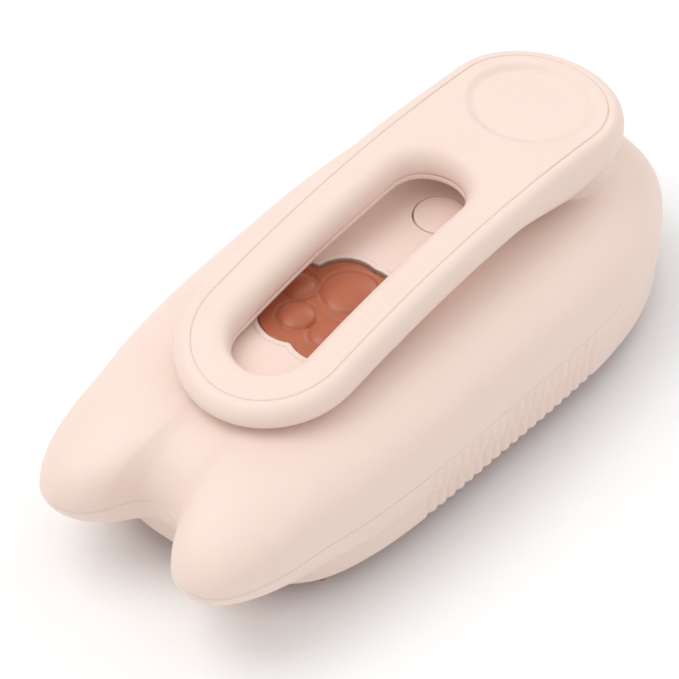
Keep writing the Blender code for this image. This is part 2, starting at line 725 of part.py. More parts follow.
def mist_parts(cotton, steel, rubber, plastic):
    foot = DISC_Z + 0.8
    wick = [(WICK_RADIUS - 0.4, foot), (WICK_RADIUS, foot + 0.5), (WICK_RADIUS, WICK_TOP_Z - 0.4),
            (WICK_RADIUS - 0.4, WICK_TOP_Z)]
    turned("wick", 0, NOZZLE_Y, wick, cotton, sides=16)
    wick_spring(steel)
    bore("atomizer_disc", 0, NOZZLE_Y, 7.0, DISC_Z, DISC_Z + 0.5, steel)
    seal = [(4.6, 11.9), (7.0, 11.9), (7.6, 11.5), (7.9, 11.9), (7.9, 13.4), (4.6, 13.4)]
    turned("atomizer_seal", 0, NOZZLE_Y, seal, rubber, closed=True)
    nozzle = [(3.0, 9.6), (3.6, 5.0), (5.2, 5.0), (5.2, 8.6), (8.4, 8.8), (8.4, 10.8), (6.6, 10.8),
              (6.2, 10.0)]
    turned("nozzle_ring", 0, NOZZLE_Y, nozzle, plastic, closed=True)
    flat_ring("filler_gasket", 0, PLUG_NECK_Y, 5.7, 7.3, FILLER_TOP_Z + GAP, PAW_BACKING_Z - GAP, rubber)


def lying_cylinder(name, x, z, radius, y0, y1, finish, sides=16):
    made = turned(name, 0, 0, [(radius, 0), (radius, y1 - y0)], finish, sides=sides)
    made.location = (x * MM, y0 * MM, z * MM)
    made.rotation_euler = (math.radians(-90), 0, 0)
    return made


def battery_parts(wrap, plastic):
    lying_cylinder("battery", 0, BATTERY_Z, BATTERY_RADIUS, BATTERY_FRONT_Y, BATTERY_REAR_Y, wrap)
    low = (-BATTERY_RADIUS - 2.2, BATTERY_FRONT_Y + 4, PLATE_Z + PLATE_THICK + GAP)
    high = (BATTERY_RADIUS + 2.2, BATTERY_REAR_Y - 4, BATTERY_Z - 1.0)
    cradle = block("battery_cradle", low, high, plastic)
    cut(cradle, lying_cylinder("cradle_cut", 0, BATTERY_Z, BATTERY_RADIUS + GAP, 0, 60, None))


def main_board(board, black):
    top = BOARD_Z + BOARD_THICK
    main = block("circuit_board", (-15, 12.0, BOARD_Z), (15, 48.0, top), board)
    for i, (x, y) in enumerate(BOARD_SCREWS, 1):
        cut(main, bore(f"board_hole_cut_{i}", x, y, 1.1, BELOW_Z, 30, sides=10))
    switch_low = (-3, BUTTON_Y - 3, top + GAP)
    switch = block("tact_switch", switch_low, (3, BUTTON_Y + 3, top + 3.8), black)
    join(switch, bore("switch_key_add", 0, BUTTON_Y, 1.7, top + 2.8, top + 5.0, sides=12))


def charging_port(board, steel, rubber):
    top = PORT_BOARD_Z + PORT_BOARD_THICK
    block("port_board", (-8, 60.0, PORT_BOARD_Z), (8, SOCKET_REAR_Y, top), board)
    socket_low = (-SOCKET_HALF_WIDTH, 69.0, top + GAP)
    socket_high = (SOCKET_HALF_WIDTH, SOCKET_REAR_Y, top + 3.6)
    socket = block("charge_socket", socket_low, socket_high, steel, bevel=1.0)
    mouth = SOCKET_HALF_WIDTH - 0.6
    cut(socket, block("socket_mouth_cut", (-mouth, 71.0, top + 1.0), (mouth, 80, top + 2.9)))
    flap_low = (-FLAP_HALF_WIDTH, FLAP_HINGE_Y - 1.05, FLAP_LOW_Z)
    flap_high = (FLAP_HALF_WIDTH, FLAP_HINGE_Y + 0.2, FLAP_TOP_Z)
    flap = block("port_flap", flap_low, flap_high, rubber, bevel=0.3)
    join(flap, block("flap_plug_add", (-mouth, 78.7, 11.6), (mouth, 80.0, 13.9)))


# ---- joints ----


def carry(name, place, pieces):
    """An empty on a joint's axis, which carries the pieces that move on it."""
    holder = bpy.data.objects.new(name, None)
    bpy.context.scene.collection.objects.link(holder)
    holder.parent = bpy.data.objects["datum"]
    holder.location = [value * MM for value in place]
    for piece in pieces:
        moving = bpy.data.objects[piece]
        moving.parent = holder
        moving.matrix_parent_inverse = Matrix.Translation([-value * MM for value in place])


def hang_moving_pieces():
    handle = ["handle_cover", "handle_base", "pivot_retainer", "pivot_screw"]
    handle += [f"handle_screw_{i}" for i in range(1, len(HANDLE_SCREWS) + 1)]
    carry("handle_pivot", (0, PIVOT_Y, SEAT_Z), handle)
    carry("button_guide", (0, BUTTON_Y, DECK_Z), ["power_button", "indicator_light"])
    carry("plug_guide", (0, PLUG_NECK_Y, PAW_TOP_Z), ["paw_plug"])
    carry("flap_hinge", (0, FLAP_HINGE_Y, FLAP_TOP_Z), ["port_flap"])


def build():
    clear_scene()
    cream = material("cream_plastic", CREAM, 0.42)
    silicone = material("brown_silicone", BROWN, 0.34)
    clear = material("clear_tank", (0.80, 0.86, 0.88, 1.0), 0.12)
    steel = material("bright_steel", (0.62, 0.62, 0.63, 1.0), 0.28, 1.0)
    black = material("black_nylon", (0.03, 0.03, 0.03, 1.0), 0.5)
    white = material("white_nylon", (0.78, 0.76, 0.72, 1.0), 0.5)
    rubber = material("cream_rubber", (0.80, 0.68, 0.60, 1.0), 0.6)
    cotton = material("white_cotton", (0.88, 0.87, 0.84, 1.0), 0.95)
    board = material("green_board", (0.03, 0.20, 0.08, 1.0), 0.45)
    wrap = material("battery_wrap", (0.05, 0.16, 0.34, 1.0), 0.4)
    smoke = material("smoked_lens", (0.10, 0.06, 0.05, 1.0), 0.15)
    upper_shell(cream)
    lower_shell(cream)
    base_slab("base_plate", PLATE_Z, PLATE_THICK, cream)
    bristle_pad(silicone)
    handle_cover(cream)
    handle_base(cream)
    swivel_parts(steel, white)
    power_button(cream)
    indicator_light(smoke)
    paw_plug(silicone)
    water_tank(clear)
    mist_parts(cotton, steel, rubber, white)
    battery_parts(wrap, black)
    main_board(board, black)
    charging_port(board, steel, rubber)
    screws(steel)
    hang_moving_pieces()


build()
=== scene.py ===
import json
import math

import bmesh
import bpy
import numpy as np
from mathutils import Matrix, Vector


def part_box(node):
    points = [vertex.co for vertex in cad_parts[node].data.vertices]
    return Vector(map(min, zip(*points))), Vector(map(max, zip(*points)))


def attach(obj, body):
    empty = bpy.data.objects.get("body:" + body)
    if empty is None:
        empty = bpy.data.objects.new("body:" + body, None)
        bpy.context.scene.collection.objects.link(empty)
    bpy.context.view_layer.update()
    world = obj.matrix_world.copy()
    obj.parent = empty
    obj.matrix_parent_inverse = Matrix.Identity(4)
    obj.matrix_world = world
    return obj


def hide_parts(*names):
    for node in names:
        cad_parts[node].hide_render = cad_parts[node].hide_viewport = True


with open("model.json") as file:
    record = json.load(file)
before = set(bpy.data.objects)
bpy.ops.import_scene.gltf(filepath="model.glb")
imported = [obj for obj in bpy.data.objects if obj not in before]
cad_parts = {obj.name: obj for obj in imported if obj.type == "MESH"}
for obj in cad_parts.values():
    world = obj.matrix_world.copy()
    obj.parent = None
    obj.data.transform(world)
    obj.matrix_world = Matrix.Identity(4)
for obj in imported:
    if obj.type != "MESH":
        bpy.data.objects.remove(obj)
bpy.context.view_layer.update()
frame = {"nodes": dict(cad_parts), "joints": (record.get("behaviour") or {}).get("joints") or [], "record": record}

MM = 0.001


# ---- Studio ----
# White paper under the brush, one broad soft lamp over its head, a weaker one behind and a card on the right.
# A long lens looks down across the right ear, so the far end of the handle is nearly as large as the near one.

VIEW_AZIMUTH = math.radians(40)
VIEW_ELEVATION = math.radians(46)
LENS = 212.1
DISTANCE = 854.3
AIM = Vector((0.0, 10.3, 52.5))
AIM_RIGHT = -13.97
AIM_UP = -29.70

back = Vector((math.sin(VIEW_AZIMUTH) * math.cos(VIEW_ELEVATION),
               -math.cos(VIEW_AZIMUTH) * math.cos(VIEW_ELEVATION), math.sin(VIEW_ELEVATION)))
right = Vector((math.cos(VIEW_AZIMUTH), math.sin(VIEW_AZIMUTH), 0))
up = back.cross(right)
target = (AIM + right * AIM_RIGHT + up * AIM_UP) * MM

camera_data = bpy.data.cameras.new("camera")
camera_data.lens = LENS
camera_data.sensor_width = 36
camera_data.clip_start = 0.01
camera = bpy.data.objects.new("camera", camera_data)
bpy.context.scene.collection.objects.link(camera)
facing = Matrix((right, up, back)).transposed().to_4x4()
camera.matrix_world = Matrix.Translation(target + back * DISTANCE * MM) @ facing
bpy.context.scene.camera = camera


def soft_lamp(name, place, watts, size, colour=(1, 1, 1)):
    lamp_data = bpy.data.lights.new(name, "AREA")
    lamp_data.energy = watts
    lamp_data.shape = "DISK"
    lamp_data.size = size
    lamp_data.color = colour
    lamp = bpy.data.objects.new(name, lamp_data)
    bpy.context.scene.collection.objects.link(lamp)
    lamp.location = place
    lamp.rotation_euler = (target - Vector(place)).to_track_quat("-Z", "Y").to_euler()


soft_lamp("key_lamp", (-0.35, -0.25, 0.75), 2.4, 0.60, (1.0, 0.985, 0.97))
soft_lamp("back_lamp", (-0.10, 0.75, 0.50), 0.9, 0.45)
soft_lamp("side_card", (0.75, 0.05, 0.30), 0.4, 0.50, (0.97, 0.98, 1.0))

world = bpy.data.worlds.new("studio")
world.use_nodes = True
sky = world.node_tree.nodes
sky["Background"].inputs["Color"].default_value = (1.0, 1.0, 1.0, 1.0)
height = sky.new("ShaderNodeSeparateXYZ")
world.node_tree.links.new(sky.new("ShaderNodeTexCoord").outputs["Generated"], height.inputs["Vector"])
glow = sky.new("ShaderNodeMapRange")
glow.inputs["From Min"].default_value = -0.1
glow.inputs["From Max"].default_value = 0.9
glow.inputs["To Min"].default_value = 0.42
glow.inputs["To Max"].default_value = 0.92
world.node_tree.links.new(height.outputs["Z"], glow.inputs["Value"])
world.node_tree.links.new(glow.outputs["Result"], sky["Background"].inputs["Strength"])
bpy.context.scene.world = world
bpy.context.scene.view_settings.view_transform = "Standard"


def nodes_of(name):
    """A new node material, its nodes, its links and its shader."""
    made = bpy.data.materials.new(name)
    made.use_nodes = True
    tree = made.node_tree
    return made, tree.nodes, tree.links, tree.nodes["Principled BSDF"]


paper, nodes, links, shader = nodes_of("studio_paper")
tooth = nodes.new("ShaderNodeTexNoise")
tooth.inputs["Scale"].default_value = 900
tint = nodes.new("ShaderNodeValToRGB")
tint.color_ramp.elements[0].color = (0.93, 0.93, 0.93, 1)
tint.color_ramp.elements[1].color = (0.96, 0.96, 0.96, 1)
links.new(tooth.outputs["Fac"], tint.inputs["Fac"])
links.new(tint.outputs["Color"], shader.inputs["Base Color"])
shader.inputs["Roughness"].default_value = 0.9
sweep = bmesh.new()
bmesh.ops.create_grid(sweep, x_segments=8, y_segments=8, size=3.0)
paper_mesh = bpy.data.meshes.new("paper_sweep")
sweep.to_mesh(paper_mesh)
sweep.free()
paper_sweep = bpy.data.objects.new("paper_sweep", paper_mesh)
paper_sweep.location = (0, 0, -0.0002)
paper_mesh.materials.append(paper)
bpy.context.scene.collection.objects.link(paper_sweep)


# ---- Casing wall ----
# The lower half of the casing: one moulded shell with an upright wall, the undersides of the two ears,
# a raised bead along the parting line and a grip of upright ribs on each flank. Satin cream ABS.

CREAM = (0.880, 0.712, 0.636, 1)
CREAM_SHADE = (0.862, 0.686, 0.606, 1)
CREAM_WORN = (0.900, 0.760, 0.690, 1)
# Right halves of the two plan outlines, from the notch between the ears round to the tail
EAR_OUTLINE = [(0, -67.8), (4.6, -69.0), (7.6, -72.8), (10.2, -77.6), (14.2, -81.2), (19.4, -82.3),
               (24.6, -79.9), (28.6, -73.8), (31.2, -65.4), (32.8, -54.8), (35.1, -42.0), (36.8, -24.0),
               (37.5, 0), (37.7, 22.0), (37.0, 38.0), (34.4, 53.0), (28.4, 67.0), (17.0, 78.4), (0, 82.3)]
BODY_OUTLINE = [(0, -64.6), (12.0, -64.0), (22.6, -59.4), (29.6, -51.6), (33.6, -38.6), (35.4, -22.0),
                (36.2, 0), (36.8, 22.0), (36.4, 38.0), (33.8, 53.0), (27.8, 66.4), (16.6, 77.4), (0, 81.2)]
CENTRE_Y = 2.0
WALL = 2.0
EAR_DEPTH = 8.8
BEAD_HEIGHT = 0.9
BEAD_PROUD = 0.22
SEAM_SUNK = 0.02
SEAM = 0.1
RIB_COUNT = 19
RIB_PITCH = 3.0
RIB_FIRST_Y = -23.4
RIB_DEPTH = 0.6
RIB_HEIGHT = 14.9

wall_low, wall_high = (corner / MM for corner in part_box("lower_shell"))


def closed_curve(half, samples=24):
    """A smooth closed curve through a half outline and its mirror image."""
    whole = np.array(list(half) + [(-x, y) for x, y in reversed(half[1:-1])], float)
    count = len(whole)
    curve = []
    for i in range(count):
        a, b, c, d = (whole[(i + k) % count] for k in (-1, 0, 1, 2))
        for t in np.arange(samples) / samples:
            curve.append(0.5 * (2 * b + (c - a) * t + (2 * a - 5 * b + 4 * c - d) * t ** 2
                                + (3 * b - a - 3 * c + d) * t ** 3))
    return np.array(curve)


def inset(curve, distance):
    along = np.roll(curve, -1, axis=0) - np.roll(curve, 1, axis=0)
    along /= np.hypot(along[:, 0], along[:, 1])[:, None]
    return curve + distance * np.column_stack([-along[:, 1], along[:, 0]])


def directions(curve):
    return np.arctan2(curve[:, 0], CENTRE_Y - curve[:, 1])


def reach(curve, angles):
    """How far the outline lies from the middle of the dome, in each direction."""
    angle = directions(curve)
    order = np.argsort(angle)
    far = np.hypot(curve[:, 0], curve[:, 1] - CENTRE_Y)[order]
    turns = np.concatenate([angle[order] + 2 * math.pi * k for k in (-1, 0, 1)])
    return np.interp(angles, turns, np.tile(far, 3))


def spaced(curve, count, share):
    """Directions that step evenly along the outline; share(points) packs them closer where it is above 1."""
    closed = np.vstack([curve, curve[:1]])
    steps = np.hypot(*np.diff(closed, axis=0).T) * share(closed[1:])
    run = np.concatenate([[0], np.cumsum(steps)])
    wanted = np.arange(count) * run[-1] / count
    return directions(np.column_stack([np.interp(wanted, run, closed[:, k]) for k in (0, 1)]))


def plan_ring(radii, angles, z):
    return np.column_stack([radii * np.sin(angles), CENTRE_Y - radii * np.cos(angles), np.zeros(len(angles)) + z])


def smooth_step(t):
    t = np.clip(t, 0, 1)
    return t * t * (3 - 2 * t)


def skin(name, rings, ends=(), looped=False):
    """Joins rings of equally many points with quads; ends are "first" and "last", and are closed by a fan."""
    count = len(rings[0])
    points = [tuple(p) for ring in rings for p in ring]
    levels = list(range(len(rings)))
    pairs = list(zip(levels, levels[1:])) + ([(levels[-1], 0)] if looped else [])
    faces = []
    for low, high in pairs:
        for i in range(count):
            j = (i + 1) % count
            faces.append((low * count + i, low * count + j, high * count + j, high * count + i))
    for end, level, flip in (("first", 0, True), ("last", levels[-1], False)):
        if end in ends:
            points.append(tuple(np.mean(rings[level], axis=0)))
            for i in range(count):
                fan = (level * count + i, level * count + (i + 1) % count, len(points) - 1)
                faces.append(fan[::-1] if flip else fan)
    mesh = bpy.data.meshes.new(name)
    mesh.from_pydata([[value * MM for value in point] for point in points], [], faces)
    made = bpy.data.objects.new(name, mesh)
    bpy.context.scene.collection.objects.link(made)
    return made


def settle(piece, finish, body, replaced=(), crease=35):
    """Faces out, smooth shading with the creases kept, then material, body and the nodes it stands for."""
    shape = bmesh.new()
    shape.from_mesh(piece.data)
    bmesh.ops.recalc_face_normals(shape, faces=shape.faces)
    shape.to_mesh(piece.data)
    shape.free()
    piece.data.shade_smooth()
    piece.data.set_sharp_from_angle(angle=math.radians(crease))
    piece.data.materials.clear()
    piece.data.materials.append(finish)
    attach(piece, body)
    if replaced:
        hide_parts(*replaced)
    return piece


def moulded(name, colour, shade, worn, roughness, grain=0.02, grain_scale=2600, mottle_scale=55):
    """Moulded plastic or rubber: cloudy colour, a fine spark-eroded grain and slightly rubbed edges."""
    made, nodes, links, shader = nodes_of(name)
    place = nodes.new("ShaderNodeTexCoord")
    cloud = nodes.new("ShaderNodeTexNoise")
    cloud.inputs["Scale"].default_value = mottle_scale
    cloud.inputs["Detail"].default_value = 4
    links.new(place.outputs["Object"], cloud.inputs["Vector"])
    blend = nodes.new("ShaderNodeMix")
    blend.data_type = "RGBA"
    blend.inputs["A"].default_value = colour
    blend.inputs["B"].default_value = shade
    links.new(cloud.outputs["Fac"], blend.inputs["Factor"])
    geometry = nodes.new("ShaderNodeNewGeometry")
    edge = nodes.new("ShaderNodeMapRange")
    edge.inputs["From Min"].default_value = 0.56
    edge.inputs["From Max"].default_value = 0.74
    edge.inputs["To Max"].default_value = 0.35
    links.new(geometry.outputs["Pointiness"], edge.inputs["Value"])
    rubbed = nodes.new("ShaderNodeMix")
    rubbed.data_type = "RGBA"
    rubbed.inputs["B"].default_value = worn
    links.new(edge.outputs["Result"], rubbed.inputs["Factor"])
    links.new(blend.outputs["Result"], rubbed.inputs["A"])
    links.new(rubbed.outputs["Result"], shader.inputs["Base Color"])
    smear = nodes.new("ShaderNodeTexNoise")
    smear.inputs["Scale"].default_value = mottle_scale * 3
    smear.inputs["Detail"].default_value = 6
    links.new(place.outputs["Object"], smear.inputs["Vector"])
    gloss = nodes.new("ShaderNodeMapRange")
    gloss.inputs["To Min"].default_value = roughness - 0.05
    gloss.inputs["To Max"].default_value = roughness + 0.06
    links.new(smear.outputs["Fac"], gloss.inputs["Value"])
    links.new(gloss.outputs["Result"], shader.inputs["Roughness"])
    pits = nodes.new("ShaderNodeTexNoise")
    pits.inputs["Scale"].default_value = grain_scale
    pits.inputs["Detail"].default_value = 3
    links.new(place.outputs["Object"], pits.inputs["Vector"])
    bump = nodes.new("ShaderNodeBump")
    bump.inputs["Strength"].default_value = grain
    bump.inputs["Distance"].default_value = 0.0003
    links.new(pits.outputs["Fac"], bump.inputs["Height"])
    links.new(bump.outputs["Normal"], shader.inputs["Normal"])
    return made, nodes, links, shader


cream, _, _, shader = moulded("cream_casing", CREAM, CREAM_SHADE, CREAM_WORN, 0.44)
shader.inputs["Subsurface Weight"].default_value = 0.22
shader.inputs["Subsurface Radius"].default_value = (1.0, 0.55, 0.35)
shader.inputs["Subsurface Scale"].default_value = 0.0016
shader.inputs["Specular IOR Level"].default_value = 0.42

ears = closed_curve(EAR_OUTLINE)
body = closed_curve(BODY_OUTLINE)


def wall_share(points):
    """Packs the wall's points closer on the ribbed flanks and the ears."""
    flank = (points[:, 1] > RIB_FIRST_Y - 3) & (points[:, 1] < RIB_FIRST_Y + RIB_COUNT * RIB_PITCH + 1)
    tips = points[:, 1] < -58
    return 1 + 1.6 * flank + 0.8 * tips


wall_angles = spaced(ears, 900, wall_share)
ear_reach = reach(ears, wall_angles)
body_reach = reach(body, wall_angles)


def ear_swell(depth):
    """How much of the ears' overhang is left this far below the parting line."""
    return math.sqrt(max(0.0, 1 - (depth / EAR_DEPTH) ** 2))


def bead(depth):
    """How far the wall stands proud this far below the parting line: a fine seam, then a rounded bead."""
    if depth < SEAM:
        return -SEAM_SUNK
    return BEAD_PROUD * math.sin(math.pi * min(1.0, (depth - SEAM) / BEAD_HEIGHT)) ** 0.7


def with_ribs(ring):
    """Cuts the grip's grooves into one ring of the wall: sharp valleys between rounded ribs."""
    x, y, z = ring.T
    phase = (y - RIB_FIRST_Y) / RIB_PITCH
    on_flank = (phase > -0.5) & (phase < RIB_COUNT - 0.5)
    valley = (1 - np.abs(np.sin(math.pi * phase)) ** 0.9) * on_flank
    fade = smooth_step((wall_low.z + RIB_HEIGHT - z) / 2.2)
    return np.column_stack([x - np.sign(x) * RIB_DEPTH * valley * fade, y, z])


wall_height = wall_high.z - wall_low.z
# The bead is plain to see on the ears and nearly dies out along the flanks
bead_share = 1 - 0.85 * smooth_step((np.abs(wall_angles) - math.radians(35)) / math.radians(35))
depths = [0, 0.1, 0.2, 0.35, 0.55, 0.75, 0.9, 1.0, 1.15]
depths += [EAR_DEPTH * math.sin(math.radians(a)) for a in np.arange(9, 90.5, 3.0)]
depths += [9.4, 10.1, 10.8, 11.5, 12.2, 12.9, 13.6, 14.3]
outer = []
for depth in depths:
    radii = body_reach + (ear_reach - body_reach) * ear_swell(depth) + bead(depth) * bead_share
    outer.append(with_ribs(plan_ring(radii, wall_angles, wall_high.z - depth)))
for drop, pull in ((0.30, 0.05), (0.12, 0.18), (0.0, 0.42)):
    outer.append(with_ribs(plan_ring(body_reach - pull, wall_angles, wall_low.z + drop)))
inner_ears = reach(inset(ears, WALL), wall_angles)
inner_body = reach(inset(body, WALL), wall_angles)
inner = []
for depth in [0, 2, 4, 6, 7.4, 8, wall_height]:
    swell = math.sqrt(max(0.0, 1 - (depth / (EAR_DEPTH - WALL)) ** 2))
    inner.append(plan_ring(inner_body + (inner_ears - inner_body) * swell, wall_angles, wall_high.z - depth))
casing_wall = skin("casing_wall", outer + inner[::-1], looped=True)


def turned_rings(x, y, profile, sides):
    """Rings about an upright axis for a turned shape; profile is a list of (radius, z)."""
    turns = np.arange(sides) * 2 * math.pi / sides
    return [np.column_stack([x + r * np.cos(turns), y + r * np.sin(turns), np.full(sides, z)]) for r, z in profile]


def rounded_box(low, high, radius, corner_steps=5):
    """A block standing in the wall, its four long edges rounded, its ends in the XZ plane."""
    corners = [(high[0] - radius, high[2] - radius, 0), (low[0] + radius, high[2] - radius, 90),
               (low[0] + radius, low[2] + radius, 180), (high[0] - radius, low[2] + radius, 270)]
    edge = []
    for x, z, start in corners:
        for i in range(corner_steps + 1):
            turn = math.radians(start + 90 * i / corner_steps)
            edge.append((x + radius * math.cos(turn), z + radius * math.sin(turn)))
    return [np.array([(x, y, z) for x, z in edge]) for y in (low[1], high[1])]


def carve(piece, cutters):
    """Cuts shapes out of a piece and leaves the result as plain mesh."""
    for cutter in cutters:
        shape = bmesh.new()
        shape.from_mesh(cutter.data)
        bmesh.ops.recalc_face_normals(shape, faces=shape.faces)
        shape.to_mesh(cutter.data)
        shape.free()
        step = piece.modifiers.new("carve", "BOOLEAN")
        step.operation = "DIFFERENCE"
        step.solver = "EXACT"
        step.object = cutter
    bpy.context.view_layer.update()
    seen = piece.evaluated_get(bpy.context.evaluated_depsgraph_get())
    carved = bpy.data.meshes.new_from_object(seen)
    piece.modifiers.clear()
    piece.data = carved
    for cutter in cutters:
        bpy.data.objects.remove(cutter)


flap_low, flap_high = (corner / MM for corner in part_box("port_flap"))
PORT_CLEARANCE = 0.3
RECESS_DEPTH = 1.5
recess_low = (flap_low.x - PORT_CLEARANCE, flap_high.y - RECESS_DEPTH, flap_low.z - PORT_CLEARANCE)
recess_high = (flap_high.x + PORT_CLEARANCE, flap_high.y + 6, flap_high.z + PORT_CLEARANCE)
socket_low, socket_high = (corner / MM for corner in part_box("charge_socket"))
mouth_low = (socket_low.x - PORT_CLEARANCE, socket_low.y, socket_low.z - PORT_CLEARANCE)
mouth_high = (socket_high.x + PORT_CLEARANCE, flap_high.y + 6, socket_high.z + PORT_CLEARANCE)
port_cutters = [skin("port_recess", rounded_box(recess_low, recess_high, 1.6), ends=("first", "last")),
                skin("port_mouth", rounded_box(mouth_low, mouth_high, 1.2), ends=("first", "last"))]
BACKING_HALF = 9
BACKING_FRONT_Y = 77.0
BACKING_REAR_Y = 79.6
backing_low = (-BACKING_HALF, BACKING_FRONT_Y, flap_low.z - 0.5)
backing_high = (BACKING_HALF, BACKING_REAR_Y, flap_high.z + 0.9)
backing = skin("port_backing", rounded_box(backing_low, backing_high, 1.0), ends=("first", "last"))
carve(casing_wall, port_cutters[:1])
carve(backing, port_cutters[1:])
settle(casing_wall, cream, "casing", ["lower_shell"], crease=28)
settle(backing, cream, "casing")


# ---- Casing dome ----
# The upper half of the casing: a pillowed dome that runs out into two cat ears. It carries a low round turret
# for the handle's swivel, a raised seat under the ring's front end, and openings for the button and the plug.

DOME_POWER = 3.0
TAIL_POWER = 2.3
MEAN_RADIUS = 45
TURRET_RADIUS = 16.6
TURRET_TOP = 38.75
SOCKET_RADIUS = 15.2
SOCKET_FLOOR = 38.3
SPIGOT_HOLE = 9.2
FRONT_ARC_Y = -33.1
SEAT_ARC = 13.0
SEAT_TOP = 37.3
BUTTON_HOLE = 6.15
# Toe and heel circles of the paw, as (x, y, pad radius, outline radius)
PAW_PADS = [(-4.4, -20.3, 4.3, 8.2), (4.4, -20.3, 4.3, 8.2), (-9.9, -13.0, 3.9, 6.4),
            (9.9, -13.0, 3.9, 6.4), (-2.2, -7.3, 0, 7.7), (2.2, -7.3, 0, 7.7), (0, -7.6, 6.4, 7.7)]
PAW_CENTRE = (0.0, -13.5)

pivot = Vector(next(joint for joint in frame["joints"] if joint["name"] == "handle_swivel")["pos_m"]) / MM
dome_low, dome_high = (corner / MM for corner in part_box("upper_shell"))
button_low, button_high = (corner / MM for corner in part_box("power_button"))
button_x = (button_low.x + button_high.x) / 2
button_y = (button_low.y + button_high.y) / 2
rise = dome_high.z - dome_low.z
dome_angles = spaced(ears, 520, lambda points: 1 + 0.7 * (points[:, 1] < -52))
dome_reach = reach(ears, dome_angles)
dome_waist = reach(body, dome_angles)


def dome_power(angles):
    """The dome is full over the shoulders and rounder towards the tail."""
    towards_tail = smooth_step((np.abs(angles) - math.radians(95)) / math.radians(70))
    return DOME_POWER + (TAIL_POWER - DOME_POWER) * towards_tail


def dome_turns(steps):
    """Turns up the dome's section, evenly spaced along it."""
    fine = np.linspace(0, math.pi / 2, 4000)
    across = np.diff(np.cos(fine) ** (2 / DOME_POWER)) * MEAN_RADIUS
    upward = np.diff(np.sin(fine) ** (2 / DOME_POWER)) * rise
    run = np.concatenate([[0], np.cumsum(np.hypot(across, upward))])
    return np.interp(np.linspace(0, run[-1], steps), run, fine)


def dome_ring(ear_radii, body_radii, angles, turn, base_z, height):
    """One ring of the dome; the ears melt into its rounder top as it rises."""
    power = 2 / dome_power(angles)
    lift = math.sin(turn) ** power
    radii = body_radii + (ear_radii - body_radii) * (1 - lift ** 2)
    return plan_ring(radii * math.cos(turn) ** power, angles, base_z + height * lift)


def dome_height(x, y):
    angles = np.arctan2(x, CENTRE_Y - y)
    ear_radii, body_radii, power = reach(ears, angles), reach(body, angles), dome_power(angles)
    lift = 0.8
    for _ in range(30):
        share = np.hypot(x, y - CENTRE_Y) / (body_radii + (ear_radii - body_radii) * (1 - lift ** 2))
        lift = (lift + (1 - np.minimum(share, 0.9999) ** power) ** (1 / power)) / 2
    return dome_low.z + rise * lift


def softer_max(a, b, width):
    mix = np.clip(0.5 + 0.5 * (b - a) / width, 0, 1)
    return a + (b - a) * mix + width * mix * (1 - mix)


def with_seats(x, y, z):
    """Raises the swivel's turret and the seat under the ring's front end out of the dome, in soft fillets."""
    off = np.hypot(x, y - pivot.y)
    turret = TURRET_TOP - 0.45 * np.maximum(0, off - TURRET_RADIUS + 0.9) ** 2
    z = np.where(off < TURRET_RADIUS + 5, softer_max(z, turret, 1.1), z)
    ring_off = np.hypot(x, y - FRONT_ARC_Y)
    turn = np.abs(np.arctan2(x, FRONT_ARC_Y - y))
    across = np.exp(-np.abs((ring_off - SEAT_ARC) / 4.6) ** 3)
    along = 1 - smooth_step((turn - math.radians(38)) / math.radians(42))
    lifted = z + np.maximum(0, SEAT_TOP - z) * across * along
    return np.where(y < FRONT_ARC_Y + 10, lifted, z)


shell_rings = [plan_ring(dome_reach - 0.6, dome_angles, wall_high.z + 0.02),
               plan_ring(dome_reach - 0.06, dome_angles, wall_high.z + 0.02),
               plan_ring(dome_reach, dome_angles, wall_high.z + 0.09)]
for turn in dome_turns(96)[:-1]:
    ring = dome_ring(dome_reach, dome_waist, dome_angles, turn, dome_low.z + 0.25, rise - 0.25)
    ring[:, 2] = with_seats(ring[:, 0], ring[:, 1], ring[:, 2])
    shell_rings.append(ring)
dome_inner = reach(inset(ears, WALL), dome_angles)
waist_inner = reach(inset(body, WALL), dome_angles)
lining = [dome_ring(dome_inner, waist_inner, dome_angles, math.radians(degrees), dome_low.z, rise - WALL)
          for degrees in np.arange(0, 90, 7.5)]
casing_dome = skin("casing_dome", lining[::-1] + shell_rings, ends=("first", "last"))


def paw_edge(margin, steps=300, soften=2.2):
    """The paw's outline: the outer edge of its circles, with the hollows between toes slightly filled."""
    cx, cy = PAW_CENTRE
    turns = (np.arange(steps) + 0.5) * 2 * math.pi / steps
    dx, dy = np.cos(turns), np.sin(turns)
    far = np.zeros(steps)
    for x, y, _, radius in PAW_PADS:
        along = (x - cx) * dx + (y - cy) * dy
        off2 = (x - cx) ** 2 + (y - cy) ** 2 - along ** 2
        far = np.maximum(far, np.where(off2 < radius ** 2, along + np.sqrt(np.maximum(0, radius ** 2 - off2)), 0))
    width = math.radians(soften)
    lag = np.arange(-12, 13) * 2 * math.pi / steps
    weight = np.exp(-(lag / width) ** 2 / 2)
    padded = np.concatenate([far[-12:], far, far[:12]])
    far = np.convolve(padded, weight / weight.sum(), mode="valid")
    edge = np.column_stack([cx + far * dx, cy + far * dy])
    return inset(edge, -margin)


def paw_ring(margin, above):
    """A ring round the paw that follows the deck, a little above or below it."""
    edge = paw_edge(margin)
    return np.column_stack([edge, dome_height(edge[:, 0], edge[:, 1]) + above])


